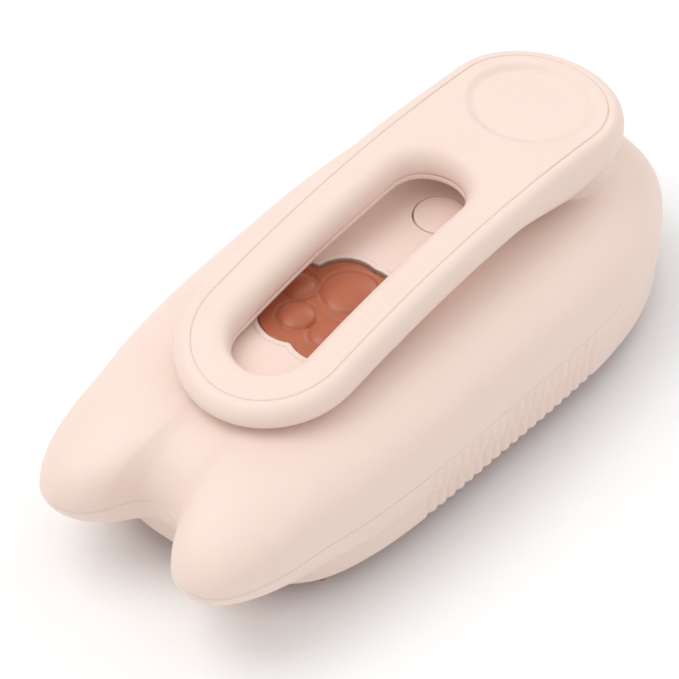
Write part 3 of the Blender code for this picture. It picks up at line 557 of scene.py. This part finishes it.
paw_low, paw_high = (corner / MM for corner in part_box("paw_plug"))
PAW_DOME = 1.1
paw_top = paw_high.z - PAW_DOME
deck = dome_high.z
socket_cut = [(SPIGOT_HOLE, 25), (SPIGOT_HOLE, SOCKET_FLOOR), (SOCKET_RADIUS, SOCKET_FLOOR),
              (SOCKET_RADIUS, TURRET_TOP - 0.2), (SOCKET_RADIUS + 0.3, TURRET_TOP + 0.1), (SOCKET_RADIUS + 0.4, 50)]
button_cut = [(BUTTON_HOLE, 30), (BUTTON_HOLE, deck - 0.55), (BUTTON_HOLE + 0.06, deck - 0.36),
              (BUTTON_HOLE + 0.2, deck - 0.2), (BUTTON_HOLE + 0.45, deck + 0.02), (BUTTON_HOLE + 0.5, 50)]
paw_floor = paw_edge(0.3)
cutters = [skin("socket_cut", turned_rings(0, pivot.y, socket_cut, 96), ends=("first", "last")),
           skin("button_cut", turned_rings(button_x, button_y, button_cut, 96), ends=("first", "last")),
           skin("paw_cut", [np.column_stack([paw_floor, np.full(len(paw_floor), paw_top - 3.4)]),
                            np.column_stack([paw_floor, np.full(len(paw_floor), 50.0)])], ends=("first", "last"))]
carve(casing_dome, cutters)
settle(casing_dome, cream, "casing", ["upper_shell"], crease=30)

lip_profile = [(0.30, -3.0), (0.30, -0.15), (0.34, 0.02), (0.46, 0.14), (0.62, 0.19), (1.25, 0.19),
               (1.42, 0.15), (1.54, 0.06), (1.60, -0.08), (1.60, -0.8)]
paw_lip = skin("paw_lip", [paw_ring(margin, above) for margin, above in lip_profile], looped=True)
settle(paw_lip, cream, "casing", crease=60)
recess_floor = skin("paw_recess_floor", [np.column_stack([paw_edge(0.9), np.full(300, z)])
                                         for z in (paw_top - 3.2, paw_top - 1.7)], ends=("first", "last"))
settle(recess_floor, cream, "casing")


# ---- Power button and its light ----
# A round cream key flush with the deck, moulded in the casing's plastic and held from below by its flange.
# A pin-sized smoked light pipe shows in it, off to one side.

light_low, light_high = (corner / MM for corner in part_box("indicator_light"))
light_x = (light_low.x + light_high.x) / 2
light_y = (light_low.y + light_high.y) / 2
KEY_RADIUS = 5.85
FLANGE_RADIUS = 7.2
STEM_RADIUS = 1.5
key_profile = [(STEM_RADIUS, button_low.z), (STEM_RADIUS, button_low.z + 1.3), (FLANGE_RADIUS, button_low.z + 1.3),
               (FLANGE_RADIUS, button_low.z + 2.7), (KEY_RADIUS, button_low.z + 2.7)]
for pull, drop in ((0, 0.42), (0.05, 0.27), (0.16, 0.14), (0.34, 0.06), (0.9, 0.01)):
    key_profile.append((KEY_RADIUS - pull, button_high.z - drop))
key_profile.append((2.0, button_high.z))
key = skin("button_cap", turned_rings(button_x, button_y, key_profile, 96), ends=("first", "last"))
LENS_RADIUS = 0.34
LENS_HOLE_RADIUS = 0.42
lens_hole = turned_rings(light_x, light_y, [(LENS_HOLE_RADIUS, light_low.z), (LENS_HOLE_RADIUS, 60)], 24)
carve(key, [skin("lens_hole", lens_hole, ends=("first", "last"))])
settle(key, cream, "button", ["power_button"])

smoked, _, _, shader = moulded("smoked_lens", (0.05, 0.025, 0.02, 1), (0.07, 0.035, 0.03, 1),
                               (0.10, 0.06, 0.05, 1), 0.16)
shader.inputs["Coat Weight"].default_value = 0.5
lens_profile = [(LENS_RADIUS, light_low.z), (LENS_RADIUS, button_high.z - 0.16),
                (LENS_RADIUS * 0.8, button_high.z - 0.09), (LENS_RADIUS * 0.4, button_high.z - 0.06)]
lens = skin("light_pipe", turned_rings(light_x, light_y, lens_profile, 24), ends=("first", "last"))
settle(lens, smoked, "button", ["indicator_light"])


# ---- Paw-shaped filler plug ----
# One soft silicone moulding in russet brown: a flat paw that fills the recess, five low pads on it,
# and a round neck underneath that stops the tank's filler. It lifts straight out.

BROWN = (0.480, 0.140, 0.064, 1)
BROWN_SHADE = (0.425, 0.116, 0.050, 1)
BROWN_WORN = (0.52, 0.19, 0.11, 1)
NECK_RADIUS = 4.8
NECK_Y = -11.0
EDGE_ROUND = 0.40


def pad_height(x, y):
    """Domed pads, each standing in a shallow moat."""
    z = np.zeros_like(x)
    for px, py, radius, _ in PAW_PADS:
        if radius:
            off = np.hypot(x - px, y - py) / radius
            crown = PAW_DOME * (1 - np.clip(off, 0, 1) ** 2) ** 0.85
            z += crown - 0.24 * np.exp(-(((off - 1.04) * radius) / 0.55) ** 2)
    return z


plug_edge = paw_edge(0.12)
plug_centre = np.array(PAW_CENTRE)
plug_rings = []
for share in np.linspace(0.012, 1, 84):
    flat = plug_centre + (plug_edge - plug_centre) * share
    from_edge = np.hypot(*(plug_edge - flat).T)
    curl = EDGE_ROUND - np.sqrt(np.maximum(0, EDGE_ROUND ** 2 - np.maximum(0, EDGE_ROUND - from_edge) ** 2))
    z = paw_top + pad_height(flat[:, 0], flat[:, 1]) * smooth_step(from_edge / 0.8) - curl
    plug_rings.append(np.column_stack([flat, z]))
plug_rings.append(np.column_stack([plug_edge, np.full(300, paw_top - 1.5)]))
plug = skin("paw_filler_plug", plug_rings, ends=("first", "last"))
neck_profile = [(NECK_RADIUS - 0.9, paw_low.z), (NECK_RADIUS - 0.2, paw_low.z + 0.6), (NECK_RADIUS, paw_low.z + 1.2),
                (NECK_RADIUS, paw_low.z + 1.9), (NECK_RADIUS - 0.25, paw_low.z + 2.2),
                (NECK_RADIUS - 0.25, paw_low.z + 2.8), (NECK_RADIUS, paw_low.z + 3.1), (NECK_RADIUS, paw_top - 1.2)]
neck = skin("plug_neck", turned_rings(0, NECK_Y, neck_profile, 64), ends=("first", "last"))

silicone, _, _, shader = moulded("brown_silicone", BROWN, BROWN_SHADE, BROWN_WORN, 0.33, grain=0.03, grain_scale=1800)
shader.inputs["Subsurface Weight"].default_value = 0.12
shader.inputs["Subsurface Radius"].default_value = (1.0, 0.3, 0.15)
shader.inputs["Subsurface Scale"].default_value = 0.0015
shader.inputs["Sheen Weight"].default_value = 0.08
settle(plug, silicone, "plug", ["paw_plug"], crease=50)
settle(neck, silicone, "plug")


# ---- Ring handle, lower half ----
# A channel-shaped ring with a full round outer side, moulded in the casing's plastic. Its broad rear end carries
# the hub and the spigot that turn in the casing, and four screws from below hold the top plate in it.

handle_low, handle_high = (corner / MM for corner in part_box("handle_base"))
ARCH_CURVE = 0.0018
ARCH_Y = 21.6
HANDLE_THICK = 8.0
UNDER_MIN = 39.4
TIP_UNDER = 37.2
REAR_UNDER = 39.7
TIP_SLOPE = 0.1
HALF_WIDTH = 21.0
INLAY = 17.3
GROOVE = [(0.42, 0.0), (0.26, 0.04), (0.10, 0.14), (0.01, 0.24)]
SLOT_HALF = 8.8
SLOT_FRONT_Y = -33.2
SLOT_REAR_Y = 17.3
HUB_RADIUS = 14.7
HUB_TOP = 45.0
SPIGOT_RADIUS = 8.85
ARC_STEPS = 56
SIDE_STEPS = 64


def handle_z(y, depth):
    """Height at a depth under the arched top, where the full thickness is the underside."""
    top = handle_high.z - ARCH_CURVE * (y - ARCH_Y) ** 2
    swept = np.minimum(UNDER_MIN, TIP_UNDER + TIP_SLOPE * (y - FRONT_ARC_Y + HALF_WIDTH))
    under = np.maximum(top - HANDLE_THICK, swept)
    under += (REAR_UNDER - under) * smooth_step((y - 22) / 26)
    return top - depth * (top - under) / HANDLE_THICK


def pill(half_width, front_y, rear_y):
    """Plan outline with straight sides and round ends."""
    sides = np.linspace(0, 1, SIDE_STEPS, endpoint=False)
    turns = np.linspace(0, math.pi, ARC_STEPS, endpoint=False)
    right_side = np.column_stack([np.full(SIDE_STEPS, half_width), front_y + (rear_y - front_y) * sides])
    rear = np.column_stack([half_width * np.cos(turns), rear_y + half_width * np.sin(turns)])
    left_side = np.column_stack([np.full(SIDE_STEPS, -half_width), rear_y + (front_y - rear_y) * sides])
    front = np.column_stack([-half_width * np.cos(turns), front_y - half_width * np.sin(turns)])
    return np.vstack([right_side, rear, left_side, front])


def on_arch(flat, depth):
    return np.column_stack([flat, handle_z(flat[:, 1], depth)])


def outer_ring(half_width, depth):
    return on_arch(pill(half_width, FRONT_ARC_Y, pivot.y), depth)


def slot_ring(half_width, depth):
    return on_arch(pill(half_width, SLOT_FRONT_Y, SLOT_REAR_Y), depth)


channel = []
for degrees in range(-86, 87, 6):
    turn = math.radians(degrees)
    bulge = abs(math.cos(turn)) ** 0.92
    side = abs(math.sin(turn)) ** 0.92 * (1 if degrees > 0 else -1)
    channel.append(outer_ring(HALF_WIDTH - 3.2 + 3.2 * bulge, HANDLE_THICK / 2 * (1 - side)))
for gap, depth in GROOVE:
    channel.append(outer_ring(INLAY + gap, depth))
channel += [outer_ring(INLAY + 0.01, 2.5), outer_ring(16.1, 2.5), outer_ring(16.1, 6.2), slot_ring(11.4, 6.2),
            slot_ring(11.4, 5.85), slot_ring(SLOT_HALF + 0.1, 5.8), slot_ring(SLOT_HALF, 5.9),
            slot_ring(SLOT_HALF, 6.6), slot_ring(9.0, 7.2), slot_ring(9.5, 7.7), slot_ring(10.4, 8.0)]
ring_base = skin("ring_handle_base", channel, looped=True)
hub_profile = [(SPIGOT_RADIUS, handle_low.z), (SPIGOT_RADIUS, SOCKET_FLOOR + 0.3),
               (HUB_RADIUS - 0.3, SOCKET_FLOOR + 0.3), (HUB_RADIUS, SOCKET_FLOOR + 0.6),
               (HUB_RADIUS, HUB_TOP - 0.6), (HUB_RADIUS - 2, HUB_TOP)]
hub = skin("swivel_hub", turned_rings(0, pivot.y, hub_profile, 96), ends=("first", "last"))
settle(ring_base, cream, "handle", ["handle_base"], crease=50)
settle(hub, cream, "handle")


# ---- Ring handle, top plate ----
# The inlay that closes the ring from above, set in a fine groove. A broad soft fillet runs down into the slot,
# and a shallow round thumb dish lies over the swivel.

FILLET_WIDTH = 4.4
FILLET_DEPTH = 4.8
DISH_RADIUS = 14.9
DISH_EDGE = 2.6
DISH_DEPTH = 1.25
PLATE_RINGS = 56
SKIRT_HALF = 10.6

rim = pill(INLAY - GROOVE[0][0], FRONT_ARC_Y, pivot.y)
brink = pill(SLOT_HALF + FILLET_WIDTH, SLOT_FRONT_Y, SLOT_REAR_Y)
PLATE_THICK = 2.2
plate_rings = [outer_ring(INLAY - 0.01, PLATE_THICK)]
for gap, depth in GROOVE[:0:-1]:
    plate_rings.append(outer_ring(INLAY - gap, depth))
for share in np.linspace(0, 1, PLATE_RINGS):
    ring = on_arch(rim + (brink - rim) * share, 0.0)
    off = np.hypot(ring[:, 0], ring[:, 1] - pivot.y)
    ring[:, 2] -= DISH_DEPTH * smooth_step((DISH_RADIUS - off) / DISH_EDGE)
    plate_rings.append(ring)
for degrees in range(6, 91, 6):
    turn = math.radians(degrees)
    half = SLOT_HALF + FILLET_WIDTH * (1 - math.sin(turn))
    plate_rings.append(slot_ring(half, FILLET_DEPTH * (1 - math.cos(turn))))
for half, depth in ((SLOT_HALF, 5.5), (SLOT_HALF + 0.1, 5.6), (SKIRT_HALF, 5.6), (SKIRT_HALF, PLATE_THICK)):
    plate_rings.append(slot_ring(half, depth))
top_plate = skin("ring_handle_plate", plate_rings, looped=True)
settle(top_plate, cream, "handle", ["handle_cover"], crease=50)


# ---- Bristle pad ----
# One silicone moulding that fills the casing's foot: a sheet with rows of short blunt pegs on it.
# It snaps over the base plate, and its hole clears the mist nozzle.

BRISTLE_SPACING_X = 8.6
BRISTLE_SPACING_Y = 9.6
BRISTLE_FIRST_Y = -57.6
BRISTLE_ROWS = 14
BRISTLE_COLUMNS = 7
BRISTLE_EDGE = 1.6
ROOT_RADIUS = 1.3
TIP_RADIUS = 0.95
NOZZLE_Y = -26.0
NOZZLE_CLEAR = 7.8
NOZZLE_HOLE = 5.6

pad_low, pad_high = (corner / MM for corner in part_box("bristle_pad"))
PAD_THICK = 1.7
pad_under = pad_high.z - PAD_THICK
pad_angles = spaced(body, 360, lambda points: np.ones(len(points)))
pad_radii = reach(inset(body, WALL + 0.3), pad_angles)
pad_profile = [(0.0, pad_high.z), (0.0, pad_under + 0.5), (0.15, pad_under + 0.15), (0.5, pad_under)]
pad_rings = [plan_ring(pad_radii - pull, pad_angles, z) for pull, z in pad_profile]
pad_sheet = skin("bristle_sheet", pad_rings, ends=("first", "last"))
nozzle_cut = [(NOZZLE_HOLE + 0.4, pad_under - 1), (NOZZLE_HOLE + 0.4, pad_under), (NOZZLE_HOLE, pad_under + 0.4),
              (NOZZLE_HOLE, pad_high.z + 1)]
carve(pad_sheet, [skin("nozzle_cut", turned_rings(0, NOZZLE_Y, nozzle_cut, 64), ends=("first", "last"))])
settle(pad_sheet, silicone, "casing", ["bristle_pad"])

PEG_SIDES = 14
peg_profile = [(ROOT_RADIUS + 0.55, pad_under + 0.1), (ROOT_RADIUS + 0.2, pad_under - 0.15),
               (ROOT_RADIUS, pad_under - 0.6)]
for degrees in range(0, 90, 15):
    turn = math.radians(degrees)
    peg_profile.append((TIP_RADIUS * math.cos(turn), pad_low.z + TIP_RADIUS * 0.8 * (1 - math.sin(turn))))
edge_reach = inset(body, WALL + BRISTLE_EDGE)
pegs = []
for row in range(BRISTLE_ROWS):
    y = BRISTLE_FIRST_Y + row * BRISTLE_SPACING_Y
    for column in range(BRISTLE_COLUMNS):
        x = (column - (BRISTLE_COLUMNS - 1) / 2) * BRISTLE_SPACING_X
        inside = math.hypot(x, y - CENTRE_Y) < reach(edge_reach, [math.atan2(x, CENTRE_Y - y)])[0]
        if inside and math.hypot(x, y - NOZZLE_Y) > NOZZLE_CLEAR:
            pegs.append((x, y))
peg_mesh = bmesh.new()
for x, y in pegs:
    rings = [[peg_mesh.verts.new([value * MM for value in point]) for point in ring]
             for ring in turned_rings(x, y, peg_profile, PEG_SIDES)]
    for first, second in zip(rings, rings[1:]):
        for i in range(PEG_SIDES):
            j = (i + 1) % PEG_SIDES
            peg_mesh.faces.new((first[i], first[j], second[j], second[i]))
    peg_mesh.faces.new(rings[0])
    peg_mesh.faces.new(rings[-1])
peg_data = bpy.data.meshes.new("bristle_pegs")
peg_mesh.to_mesh(peg_data)
peg_mesh.free()
bristles = bpy.data.objects.new("bristle_pegs", peg_data)
bpy.context.scene.collection.objects.link(bristles)
settle(bristles, silicone, "casing", crease=60)


# ---- Mist nozzle and its plate ----
# A white acetal ring shows in the middle of the bristles, and behind it the bright perforated disc that a
# driver shakes to make the mist. The disc sits in a cream rubber seal.

ring_low, ring_high = (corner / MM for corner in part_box("nozzle_ring"))
nozzle_profile = [(3.0, ring_low.z + 4.6), (3.2, ring_low.z + 1.6), (3.6, ring_low.z + 0.25), (3.9, ring_low.z),
                  (4.9, ring_low.z), (5.2, ring_low.z + 0.3), (5.2, ring_low.z + 3.6), (8.4, ring_low.z + 3.8),
                  (8.4, ring_high.z), (6.6, ring_high.z), (6.2, ring_high.z - 0.8)]
nozzle = skin("mist_nozzle", turned_rings(0, NOZZLE_Y, nozzle_profile, 72), looped=True)
white, _, _, _ = moulded("white_nylon", (0.78, 0.76, 0.72, 1), (0.73, 0.71, 0.66, 1),
                         (0.85, 0.84, 0.80, 1), 0.42)
settle(nozzle, white, "casing", ["nozzle_ring"])

disc_low, disc_high = (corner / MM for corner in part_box("atomizer_disc"))
DISC_RADIUS = 7.0
disc_profile = [(DISC_RADIUS, disc_high.z), (DISC_RADIUS, disc_low.z + 0.1), (DISC_RADIUS - 0.1, disc_low.z),
                (3.4, disc_low.z), (2.9, disc_low.z - 0.15), (1.6, disc_low.z - 0.28), (0.5, disc_low.z - 0.3)]
disc = skin("mist_disc", turned_rings(0, NOZZLE_Y, disc_profile, 72), ends=("first", "last"))


def metal(name, colour, dark, roughness, scratch_scale, scratch=0.06):
    """Bright metal with fine drawn scratches and a slightly uneven polish."""
    made, nodes, links, shader = nodes_of(name)
    place = nodes.new("ShaderNodeTexCoord")
    stretch = nodes.new("ShaderNodeMapping")
    stretch.inputs["Scale"].default_value = (1, 14, 1)
    lines = nodes.new("ShaderNodeTexNoise")
    lines.inputs["Scale"].default_value = scratch_scale
    lines.inputs["Detail"].default_value = 5
    links.new(place.outputs["Object"], stretch.inputs["Vector"])
    links.new(stretch.outputs["Vector"], lines.inputs["Vector"])
    blend = nodes.new("ShaderNodeMix")
    blend.data_type = "RGBA"
    blend.inputs["A"].default_value = colour
    blend.inputs["B"].default_value = dark
    links.new(lines.outputs["Fac"], blend.inputs["Factor"])
    links.new(blend.outputs["Result"], shader.inputs["Base Color"])
    polish = nodes.new("ShaderNodeMapRange")
    polish.inputs["To Min"].default_value = roughness - 0.06
    polish.inputs["To Max"].default_value = roughness + 0.10
    links.new(lines.outputs["Fac"], polish.inputs["Value"])
    links.new(polish.outputs["Result"], shader.inputs["Roughness"])
    bump = nodes.new("ShaderNodeBump")
    bump.inputs["Strength"].default_value = scratch
    bump.inputs["Distance"].default_value = 0.0001
    links.new(lines.outputs["Fac"], bump.inputs["Height"])
    links.new(bump.outputs["Normal"], shader.inputs["Normal"])
    shader.inputs["Metallic"].default_value = 1.0
    return made


steel = metal("bright_steel", (0.62, 0.62, 0.63, 1), (0.50, 0.50, 0.52, 1), 0.28, 700)
settle(disc, steel, "casing", ["atomizer_disc"])

rubber, _, _, _ = moulded("cream_rubber", (0.80, 0.68, 0.60, 1), (0.76, 0.63, 0.55, 1),
                          (0.84, 0.73, 0.66, 1), 0.6)


# ---- Charging port and its flap ----
# A small socket on its own board at the tail, behind a rubber flap that hangs on its top edge and has
# a plug on its back. The flap lies flush with the wall and has a lip for a fingernail.

FLAP_CORNER = 1.4
flap_front = []
for grow, y in ((0.0, flap_low.y + 0.6), (0.0, flap_high.y - 0.35), (-0.12, flap_high.y - 0.1), (-0.35, flap_high.y)):
    low = (flap_low.x - grow, y, flap_low.z - grow)
    high = (flap_high.x + grow, y, flap_high.z + grow)
    flap_front.append(rounded_box(low, high, FLAP_CORNER + grow)[0])
flap = skin("port_flap_cover", flap_front, ends=("first", "last"))
settle(flap, rubber, "flap", ["port_flap"])
plug_rings = [rounded_box((-3.9 + pull, y, 13.6 + pull), (3.9 - pull, y, 15.9 - pull), 1.0)[0]
              for pull, y in ((0.3, flap_low.y), (0.0, flap_low.y + 0.3), (0.0, flap_low.y + 1.6))]
flap_plug = skin("port_flap_plug", plug_rings, ends=("first", "last"))
settle(flap_plug, rubber, "flap")
TAB_HALF = 2.2
TAB_Z = 0.9
TAB_HEIGHT = 1.0
tab_rings = []
for pull, y in ((0.0, flap_high.y - 0.3), (0.0, flap_high.y + 0.35), (0.15, flap_high.y + 0.5)):
    low = (-TAB_HALF + pull, y, flap_low.z + TAB_Z + pull)
    high = (TAB_HALF - pull, y, flap_low.z + TAB_Z + TAB_HEIGHT - pull)
    tab_rings.append(rounded_box(low, high, 0.3)[0])
tab = skin("port_flap_tab", tab_rings, ends=("first", "last"))
settle(tab, rubber, "flap")


# ---- Inside the casing ----
# Pieces that the closed casing hides: tank, wick and spring, cell in its cradle, boards, switch, swivel parts
# and screws. Each keeps its moulded, pressed or turned shape and takes the finish of its own material.

black, _, _, _ = moulded("black_nylon", (0.03, 0.03, 0.03, 1), (0.022, 0.022, 0.022, 1),
                         (0.06, 0.06, 0.06, 1), 0.5)
sleeve, _, _, shader = moulded("battery_wrap", (0.05, 0.16, 0.34, 1), (0.04, 0.13, 0.30, 1),
                               (0.10, 0.22, 0.40, 1), 0.36)
shader.inputs["Coat Weight"].default_value = 0.3
mask, _, _, _ = moulded("green_board", (0.03, 0.20, 0.08, 1), (0.02, 0.15, 0.06, 1), (0.10, 0.30, 0.15, 1), 0.42,
                        grain=0.15, grain_scale=500, mottle_scale=300)
cotton, _, _, shader = moulded("white_cotton", (0.88, 0.87, 0.84, 1), (0.80, 0.78, 0.74, 1),
                               (0.92, 0.91, 0.89, 1), 0.9, grain=0.6, grain_scale=1500, mottle_scale=400)
shader.inputs["Sheen Weight"].default_value = 0.4
clear, _, _, shader = moulded("clear_tank", (0.80, 0.86, 0.88, 1), (0.76, 0.83, 0.86, 1), (0.88, 0.92, 0.93, 1), 0.12)
shader.inputs["Transmission Weight"].default_value = 0.75
finishes = {"cream_casing": cream, "brown_silicone": silicone, "clear_tank": clear, "bright_steel": steel,
            "black_nylon": black, "white_nylon": white, "cream_rubber": rubber, "white_cotton": cotton,
            "green_board": mask, "battery_wrap": sleeve, "smoked_lens": smoked}
for subpart in frame["record"]["subparts"]:
    kept = frame["nodes"][subpart["node"]]
    kept.data.materials.clear()
    kept.data.materials.append(finishes[subpart["material_slot"]])
